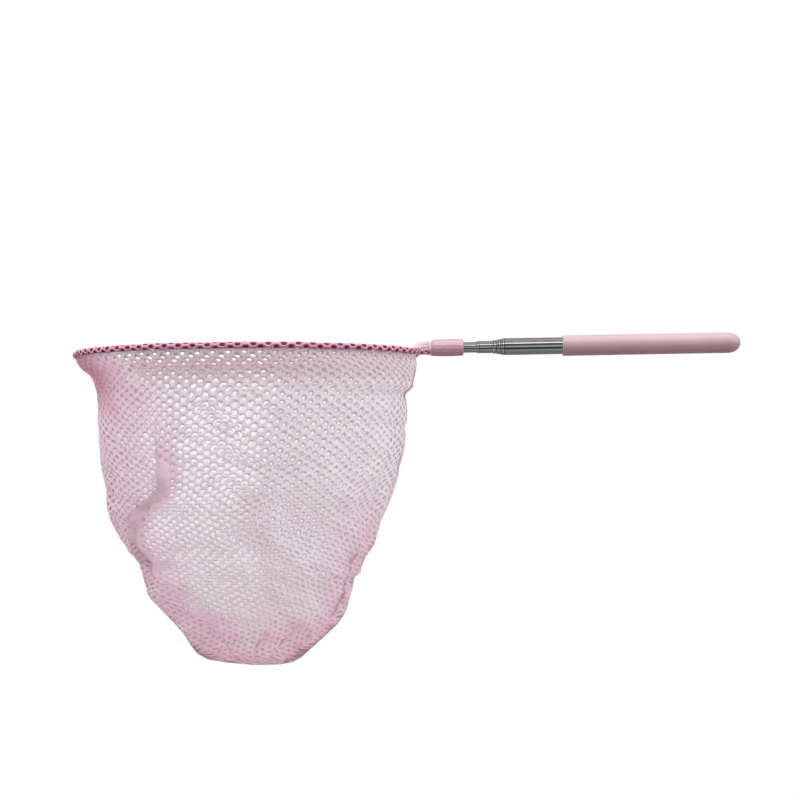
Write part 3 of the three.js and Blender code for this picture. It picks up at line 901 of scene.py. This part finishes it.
# --- hem: the same net wrapped round the hoop
def hem():
    path = hoop_path(COLLAR_FRONT - 0.1, 1.9, -2.15, -2.15)
    total, at = along(path)
    count = int(round(total / 4.1 / 2)) * 2
    step = total / count

    def surface(columns, rows):
        s = np.clip(columns * step, 0, total)
        p, side = at(s)
        end = np.minimum(s, total - s)
        r = np.interp(end, [0, 4, 14], [1.8, 1.7, HEM_R])
        a = rows * (2 * math.pi / 3) + math.radians(-43) + 0.25 * np.sin(s / 47.0) + 0.12 * np.sin(s / 19.0 + 1.0)
        up = np.zeros_like(p)
        up[:, 2] = 1.0
        r = r + 0.07 * wander(np.stack([s, rows * 4.1], 1), 12.0, 77)
        return p + side * (r * np.cos(a))[:, None] + up * (r * np.sin(a))[:, None]

    cells = [(i, j) for i in range(1, count) for j in range(3)]
    flat_cells = np.array(cells, float)
    spot = surface(flat_cells[:, 0], flat_cells[:, 1] + 0.5 * (flat_cells[:, 0] % 2))
    mid, _ = at(np.clip(flat_cells[:, 0] * step, 0, total))
    out = (spot - mid)[:, :2]
    ray = mid[:, :2] - np.array([HOOP_X, 0.0])
    faced = np.einsum("ij,ij->i", out, ray) / (np.linalg.norm(ray, axis=1) * HEM_R)
    double = np.interp(faced, [-0.9, -0.3, 0.1], [0.12, 0.5, 1.0])  # the fold lies double inside the hoop
    col, row, height, faces, _ = net(
        cells, (1.6 / 4.1, 1.12 / 4.1), 3, wrap=3, wobble=0.04, shrink=lambda c: double
    )
    verts = raise_net(surface, col, row, height, 0.2)
    faces = flipped(verts, faces)
    mid, _ = at(np.clip(col * step, 0, total))
    ray = mid[:, :2] - np.array([HOOP_X, 0.0])
    inner = -np.einsum("ij,ij->i", (verts - mid)[:, :2], ray) / (np.linalg.norm(ray, axis=1) * HEM_R)
    end = np.minimum(col, count - col) * step
    # the hem is paler on its inner side, where the fold lies double, and by its ends: partly the double layer, partly
    # painted light on the far side's inner face and by the neck
    pale = np.maximum(np.clip((inner - 0.1) / 0.5, 0, 1), np.interp(end, [0, 5, 16], [0.75, 0.6, 0.0]))
    ob = put("hem_net_casing", verts, faces, HEM, uv=np.stack([col, row], 1), gather=pale)
    carry(ob, "head", "hem_fabric", "hem_casing")
    return ob, len(cells) * (step * 2 * math.pi * HEM_R / 3 - math.pi * 1.6 * 1.12) * 1e-6, total


hem_net, hem_area, hem_length = hem()


def stitches():
    """Running stitches that close the hem under the hoop."""
    n = 1500
    a = np.linspace(math.radians(8), math.radians(352), n)
    w = np.arange(n)
    r = HOOP_R - 1.55 + 0.28 * np.sin(w * 0.96)
    z = -1.75 + 0.24 * np.cos(w * 0.48) + hoop_z(a)
    pts = np.stack([HOOP_X + r * np.cos(a), r * np.sin(a), z], 1)
    ob = tube_along("hem_stitch_thread", pts, 0.17, THREAD, 6)
    carry(ob, "head", "seam_thread", "hem_stitching")
    return ob


hem_thread = stitches()


# --- seam: the two panels' edges, sewn together and turned into the bag
def seam_path(step=0.8):
    zs = np.linspace(-5.0, BAG_END, 420)
    lt = np.stack([z_left(zs), np.zeros_like(zs), zs], 1)
    rt = np.stack([z_right(zs), np.zeros_like(zs), zs], 1)[::-1]
    p = np.vstack([lt, rt])
    d = np.concatenate([[0], np.cumsum(np.linalg.norm(np.diff(p, axis=0), axis=1))])
    s = np.arange(0, d[-1], step)
    p = np.stack([np.interp(s, d, p[:, k]) for k in range(3)], 1)
    tan = np.gradient(p, axis=0)
    kernel = np.exp(-0.5 * (np.arange(-14, 15) / 6.0) ** 2)
    kernel /= kernel.sum()
    pad = np.vstack([np.repeat(tan[:1], 14, 0), tan, np.repeat(tan[-1:], 14, 0)])
    tan = np.stack([np.convolve(pad[:, k], kernel, "valid") for k in range(3)], 1)
    tan /= np.linalg.norm(tan, axis=1)[:, None]
    inward = np.stack([-tan[:, 2], np.zeros(len(tan)), tan[:, 0]], 1)
    return s, p, inward


SEAM_S, SEAM_P, SEAM_IN = seam_path()


def seam_at(s):
    s = np.clip(s, 0, SEAM_S[-1])
    p = np.stack([np.interp(s, SEAM_S, SEAM_P[:, k]) for k in range(3)], 1)
    q = np.stack([np.interp(s, SEAM_S, SEAM_IN[:, k]) for k in range(3)], 1)
    return p, q / np.linalg.norm(q, axis=1)[:, None]


def fin_y(s, across, seed):
    f = np.stack([s, across * 0.3], 1)
    return np.clip(across / 9.0, 0, 1) * (1.2 * wander(f, 23.0, seed) + 0.5 * wander(f, 8.0, seed + 1))


def allowance(side, name):
    """One panel's edge inside the bag, about 9 mm wide."""
    count = int(SEAM_S[-1] / 3.1)
    step = SEAM_S[-1] / count

    def surface(columns, rows):
        s = np.clip(columns * step, 0, SEAM_S[-1])
        w = np.clip(rows, 0.03, 2.6) * 3.7
        w = w * (0.92 + 0.10 * wander(s[:, None], 17.0, 51 + side))
        p, q = seam_at(s)
        out = p + q * w[:, None]
        out[:, 1] = side * (0.45 + 0.05 * w) + fin_y(s, w, 61)
        return out

    cells = [(i, j) for i in range(1, count) for j in range(0, 3) if j + 0.5 * (i & 1) > 0.2]
    col, row, height, faces, border = net(cells, (HOLE_X / COLUMN * 0.9, HOLE_Y / ROW * 0.9), 15 + side)
    row[border] = np.where(row[border] < 0.8, 0.0, np.where(row[border] > 1.9, 2.6, row[border]))
    verts = raise_net(surface, col, row, height, YARN, float(side))
    faces = flipped(verts, faces)
    ob = put(name, verts, faces, NET, uv=np.stack([col, row], 1), gather=np.full(len(col), 0.6))
    carry(ob, "head", "net_fabric")
    area = len(cells) * (step * 3.7 - math.pi * HOLE_X * HOLE_Y * 0.81 * step / COLUMN * 3.7 / ROW) * 1e-6
    return ob, area


fin_front, fin_front_area = allowance(-1, "seam_edge_front")
fin_back, fin_back_area = allowance(1, "seam_edge_back")


def overlock():
    """The thread that wraps the sewn edges, in loops over both faces."""
    n = int(SEAM_S[-1] / 0.17)
    s = np.linspace(0.5, SEAM_S[-1] - 0.5, n)
    ph = s * (2 * math.pi / 2.5)
    w = 2.0 + 1.9 * np.cos(ph) + 0.15 * np.sin(s * 1.7)
    p, q = seam_at(s + 0.35 * np.sin(ph * 2))
    pts = p + q * w[:, None]
    pts[:, 1] = 0.95 * np.sin(ph) + fin_y(s, w, 61)
    ob = tube_along("bag_seam_overlock", pts, 0.16, THREAD, 6)
    carry(ob, "head", "seam_thread", "bag_seam")
    return ob


seam_thread = overlock()


# --- neck: net bunched where the hoop's ends meet
FOLDS = [  # angle round the neck, radius, reach along the hoop, seed
    (-18, 1.20, 9.0, 1), (28, 1.30, 10.0, 2), (66, 1.25, 11.0, 3), (100, 1.35, 11.5, 4), (136, 1.25, 10.5, 5),
    (166, 1.15, 9.5, 6), (200, 1.05, 7.5, 7),
]


def neck_fold(name, degrees, radius, reach, seed, node_name=None):
    """One fold of the net gathered over the hoop's two ends, from the hoop to the collar."""
    a = math.radians(degrees)
    c, d = math.cos(a), math.sin(a)
    u = np.linspace(0, 1, 44)
    x = COLLAR_FRONT - 0.6 - reach * u
    wide = np.interp(u, [0, 0.35, 0.6, 0.8, 1], [2.7, 2.85, 3.3, 5.2, 8.5])
    tall = np.interp(u, [0, 0.35, 0.6, 0.8, 1], [2.75, 2.85, 2.5, 2.0, 1.5])
    low = np.interp(u, [0, 0.35, 0.6, 0.8, 1], [0.25, 0.30, 0.0, -0.7, -1.7])
    f = np.stack([x, np.full_like(x, 3.0 * a)], 1)
    p = np.stack([x, wide * c + 0.22 * wander(f, 5.0, seed), low + tall * d + 0.22 * wander(f, 5.5, seed + 20)], 1)
    r = radius * np.interp(u, [0, 0.06, 0.3, 0.7, 1], [0.82, 0.95, 1.0, 0.85, 0.5]) * (1 + 0.09 * wander(f, 3.4, seed + 40))
    ob = tube_along(name, p, r, NECK, 18, uv=0.4)
    carry(ob, "head", "hem_fabric", *([node_name] if node_name else []))
    return ob


def neck_roll():
    """The gathered edge, rolled against the collar's front."""
    a = np.linspace(0, 2 * math.pi, 72, endpoint=False)
    f = np.stack([3.4 * np.cos(a), 3.4 * np.sin(a)], 1)
    x = COLLAR_FRONT - 0.95 - 0.45 * np.sin(a) + 0.12 * wander(f, 5.0, 71)
    m = 3.35 + 0.12 * wander(f, 4.0, 72)
    p = np.stack([x, m * np.cos(a), m * np.sin(a) - 0.1], 1)
    ob = tube_along("neck_roll", p, 0.82 + 0.08 * wander(f, 3.0, 73), NECK, 16, closed=True, uv=0.3)
    carry(ob, "head", "hem_fabric")
    return ob


neck = [
    neck_fold("neck_fold_%d" % (k + 1), *row, node_name="neck_gather" if k == 0 else None) for k, row in enumerate(FOLDS)
]
neck.append(neck_roll())

# ---------------------------------------------------------------- camera
AIM_X, REACH, LIFT, LIFT_PX, ROLL = -145.8, 1500.0, 3.6, 51.35, 1.05
FOCAL_PX = 1.725 * REACH
lift = math.radians(LIFT)
tilt = lift - math.atan(LIFT_PX / FOCAL_PX)
place = Vector((AIM_X, -REACH * math.cos(lift), -REACH * math.sin(lift))) * 0.001
ahead = Vector((0, math.cos(tilt), math.sin(tilt)))
right = Vector((1, 0, 0))
up = right.cross(ahead)
roll = math.radians(ROLL)
right2 = right * math.cos(roll) - up * math.sin(roll)
up2 = up * math.cos(roll) + right * math.sin(roll)
rot = Matrix((right2, up2, -ahead)).transposed()
cam_data = bpy.data.cameras.new("camera")
cam_data.sensor_width = 36.0
cam_data.sensor_fit = "HORIZONTAL"
cam_data.lens = FOCAL_PX * 36.0 / 800.0
cam_data.shift_x = -0.9 / 800.0
cam_data.clip_start, cam_data.clip_end = 0.05, 20.0
cam = bpy.data.objects.new("camera", cam_data)
cam.matrix_world = Matrix.Translation(place) @ rot.to_4x4()
bpy.context.scene.collection.objects.link(cam)
bpy.context.scene.camera = cam


# ---------------------------------------------------------------- light and floor
def area_light(name, at, toward, size, power, colour=(1, 1, 1)):
    data = bpy.data.lights.new(name, "AREA")
    data.shape = "RECTANGLE"
    data.size, data.size_y = size
    data.energy = power
    data.color = colour
    ob = bpy.data.objects.new(name, data)
    ob.location = at
    ob.rotation_euler = (Vector(toward) - Vector(at)).to_track_quat("-Z", "Y").to_euler()
    bpy.context.scene.collection.objects.link(ob)
    return ob


area_light("overhead", (-0.14, -0.15, 0.9), (-0.14, -0.05, 0.0), (1.4, 0.8), 1.2).visible_glossy = False



def cloth_light(name, power, colour, cloths, blockers, at=(-0.234, -0.95, -0.30), toward=(-0.234, 0.0, -0.08), size=(1.0, 0.7)):
    """A soft light that reaches only these pieces."""
    ob = area_light(name, at, toward, size, power, colour)
    ob.visible_glossy = False
    for slot_name, pieces in (("receiver_collection", cloths), ("blocker_collection", blockers)):
        group = bpy.data.collections.new(name + "_" + slot_name)
        for piece in pieces:
            group.objects.link(piece)
        setattr(ob.light_linking, slot_name, group)
    return ob


cloth_light("fill_back", 1.8, (0.99, 1.0, 0.995), (back_net, fin_back), (back_net,))
cloth_light("fill_front", 0.66, (0.99, 0.985, 0.985), (front_net, fin_front, seam_thread, *neck), (front_net,))
cloth_light(
    "fill_low", 0.42, (1.0, 0.96, 0.97), (front_net, fin_front, seam_thread), (),
    (-0.234, -0.24, -0.36), (-0.234, 0.0, -0.16), (0.4, 0.12),
)
inner = (back_net, fin_front, fin_back)
aside = (bpy.data.objects["grip_sleeve_skin"],)  # stands where it blocks none of the light
for name, x, power, pieces, blockers in (
    ("fill_left", -0.95, 0.5, inner, aside), ("fill_across", 0.48, 1.5, inner, aside), ("fill_right", 0.48, 1.0, (front_net, seam_thread), ()),
):
    cloth_light(
        name, power, (0.98, 1.0, 0.99), pieces, blockers, (x, -0.35, -0.14), (-0.234, 0.0, -0.09), (0.5, 0.5),
    )

far_light = cloth_light(
    "fill_far", 0.055, (1.0, 0.8, 0.89), (hem_net, hem_thread), (), (-0.234, -0.02, -0.015), (-0.234, 0.1, -0.002), (0.16, 0.03),
)
far_light.visible_camera = False
gloss_light = cloth_light(
    "gloss_top", 0.60, (1, 1, 1), [bpy.data.objects[n] for n in ("collar_skin", "grip_sleeve_skin")], (),
    (-0.05, -0.104, 0.386), (-0.05, 0.0, 0.0), (0.6, 0.37),
)
gloss_light.visible_glossy, gloss_light.visible_diffuse, gloss_light.visible_camera = True, False, False

world = bpy.data.worlds.new("studio")
bpy.context.scene.world = world
world.use_nodes = True
nt = world.node_tree
nt.nodes.clear()
out = node(nt, "ShaderNodeOutputWorld")
tc = node(nt, "ShaderNodeTexCoord")
split = node(nt, "ShaderNodeSeparateXYZ")
nt.links.new(tc.outputs["Generated"], split.inputs["Vector"])
front = node(nt, "ShaderNodeMath", operation="MULTIPLY")
front.inputs[1].default_value = -1.0
nt.links.new(split.outputs["Y"], front.inputs[0])
turn = node(nt, "ShaderNodeMath", operation="ARCTAN2")
nt.links.new(split.outputs["Z"], turn.inputs[0])
nt.links.new(front.outputs[0], turn.inputs[1])
part = node(nt, "ShaderNodeMapRange")
part.inputs["From Min"].default_value = -math.pi
part.inputs["From Max"].default_value = math.pi
nt.links.new(turn.outputs[0], part.inputs["Value"])


def sky(stops, ends=None):
    """A background by the angle from the front, over the top, to the back: degrees, light.
    ends: how much of it is left by the direction's X, -1 to 1."""
    col = ramp(nt, part.outputs["Result"], [((d + 180) / 360, v) for d, v in stops])
    if ends:
        span = node(nt, "ShaderNodeMapRange")
        span.inputs["From Min"].default_value = -1.0
        nt.links.new(split.outputs["X"], span.inputs["Value"])
        less = node(nt, "ShaderNodeMix", data_type="RGBA", blend_type="MULTIPLY")
        less.inputs[0].default_value = 1.0
        nt.links.new(col, less.inputs[6])
        nt.links.new(ramp(nt, span.outputs["Result"], [((x + 1) / 2, v) for x, v in ends]), less.inputs[7])
        col = less.outputs[2]
    bg = node(nt, "ShaderNodeBackground")
    bg.inputs["Strength"].default_value = 1.0
    nt.links.new(col, bg.inputs["Color"])
    return bg.outputs["Background"]


SOFT = sky([
    (-180, 0.75), (-150, 0.70), (-120, 0.55), (-90, (0.42, 0.36, 0.38)), (-45, (0.27, 0.21, 0.23)),
    (0, (0.35, 0.27, 0.295)), (20, (0.75, 0.75, 0.75)), (35, (1.35, 1.50, 1.46)), (50, (1.93, 2.36, 2.27)),
    (65, (2.16, 2.80, 2.66)), (80, (1.88, 2.46, 2.33)), (100, (1.40, 1.65, 1.58)), (135, 1.3), (180, 0.75),
])
SHARP = sky([
    (-180, 0.25), (-150, 0.25), (-118, (0.28, 0.31, 0.29)), (-94, (0.25, 0.29, 0.27)), (-76, (0.28, 0.32, 0.30)),
    (-63, (0.34, 0.39, 0.36)), (-54, (0.48, 0.53, 0.47)), (-47, (0.38, 0.42, 0.39)), (-41, 0.18), (-36, 0.05), (-22, 0.03), (-17, 0.14),
    (-11, 0.50), (-3, 0.85), (4, 0.60), (9, 0.20), (16, 0.14), (30, 0.14), (39, 0.18), (40.5, 2.8), (48.5, 2.8),
    (50, 0.52), (66, 0.46), (77, 0.48), (86, 0.62), (104, 0.66), (117, 0.58), (127, 0.30), (140, 0.20), (180, 0.20),
], [(-1, 0.3), (-0.6, 0.22), (-0.3, 0.3), (-0.16, 1.0), (0.16, 1.0), (0.3, 1.35), (0.6, 1.6), (1, 1.2)])
seen = node(nt, "ShaderNodeBackground")
seen.inputs["Color"].default_value = (1, 1, 1, 1)
path = node(nt, "ShaderNodeLightPath")
gloss = node(nt, "ShaderNodeMixShader")
nt.links.new(path.outputs["Is Glossy Ray"], gloss.inputs["Fac"])
nt.links.new(SOFT, gloss.inputs[1])
nt.links.new(SHARP, gloss.inputs[2])
pick = node(nt, "ShaderNodeMixShader")
nt.links.new(path.outputs["Is Camera Ray"], pick.inputs["Fac"])
nt.links.new(gloss.outputs["Shader"], pick.inputs[1])
nt.links.new(seen.outputs["Background"], pick.inputs[2])
nt.links.new(pick.outputs["Shader"], out.inputs["Surface"])


def floor():
    """A pale round floor well below the bag."""
    rings, sides = 24, 96
    verts, faces = [(-140.0, 0.0, -450.0)], []
    for r in range(1, rings + 1):
        for s in range(sides):
            a = 2 * math.pi * s / sides
            verts.append((-140 + 620 * r / rings * math.cos(a), 620 * r / rings * math.sin(a), -450.0))
    for s in range(sides):
        faces.append([0, 1 + s, 1 + (s + 1) % sides])
    for r in range(rings - 1):
        for s in range(sides):
            t = (s + 1) % sides
            a, b = 1 + r * sides, 1 + (r + 1) * sides
            faces.append([a + s, b + s, b + t, a + t])
    m, fnt, b, fout = material("floor_pale")
    v = coords(fnt)
    nt_noise = noise(fnt, v, 9.0, 4.0)
    fnt.links.new(ramp(fnt, nt_noise, [(0.3, (0.90, 0.90, 0.90)), (0.7, (0.93, 0.93, 0.93))]), b.inputs["Base Color"])
    b.inputs["Roughness"].default_value = 0.6
    ob = put("studio_floor", verts, faces, m)
    ob.visible_glossy = ob.visible_diffuse = ob.visible_transmission = False
    return ob


floor()

view = bpy.context.scene.view_settings
view.view_transform = "Standard"
view.look = "None"
view.exposure = 0.0
view.gamma = 1.0

print("net cells", front_cells, back_cells, "faces", len(front_net.data.polygons), len(back_net.data.polygons), "fabric mm", round(FABRIC, 1), "hem mm", round(hem_length, 1))

# ---------------------------------------------------------------- end
bpy.context.view_layer.update()
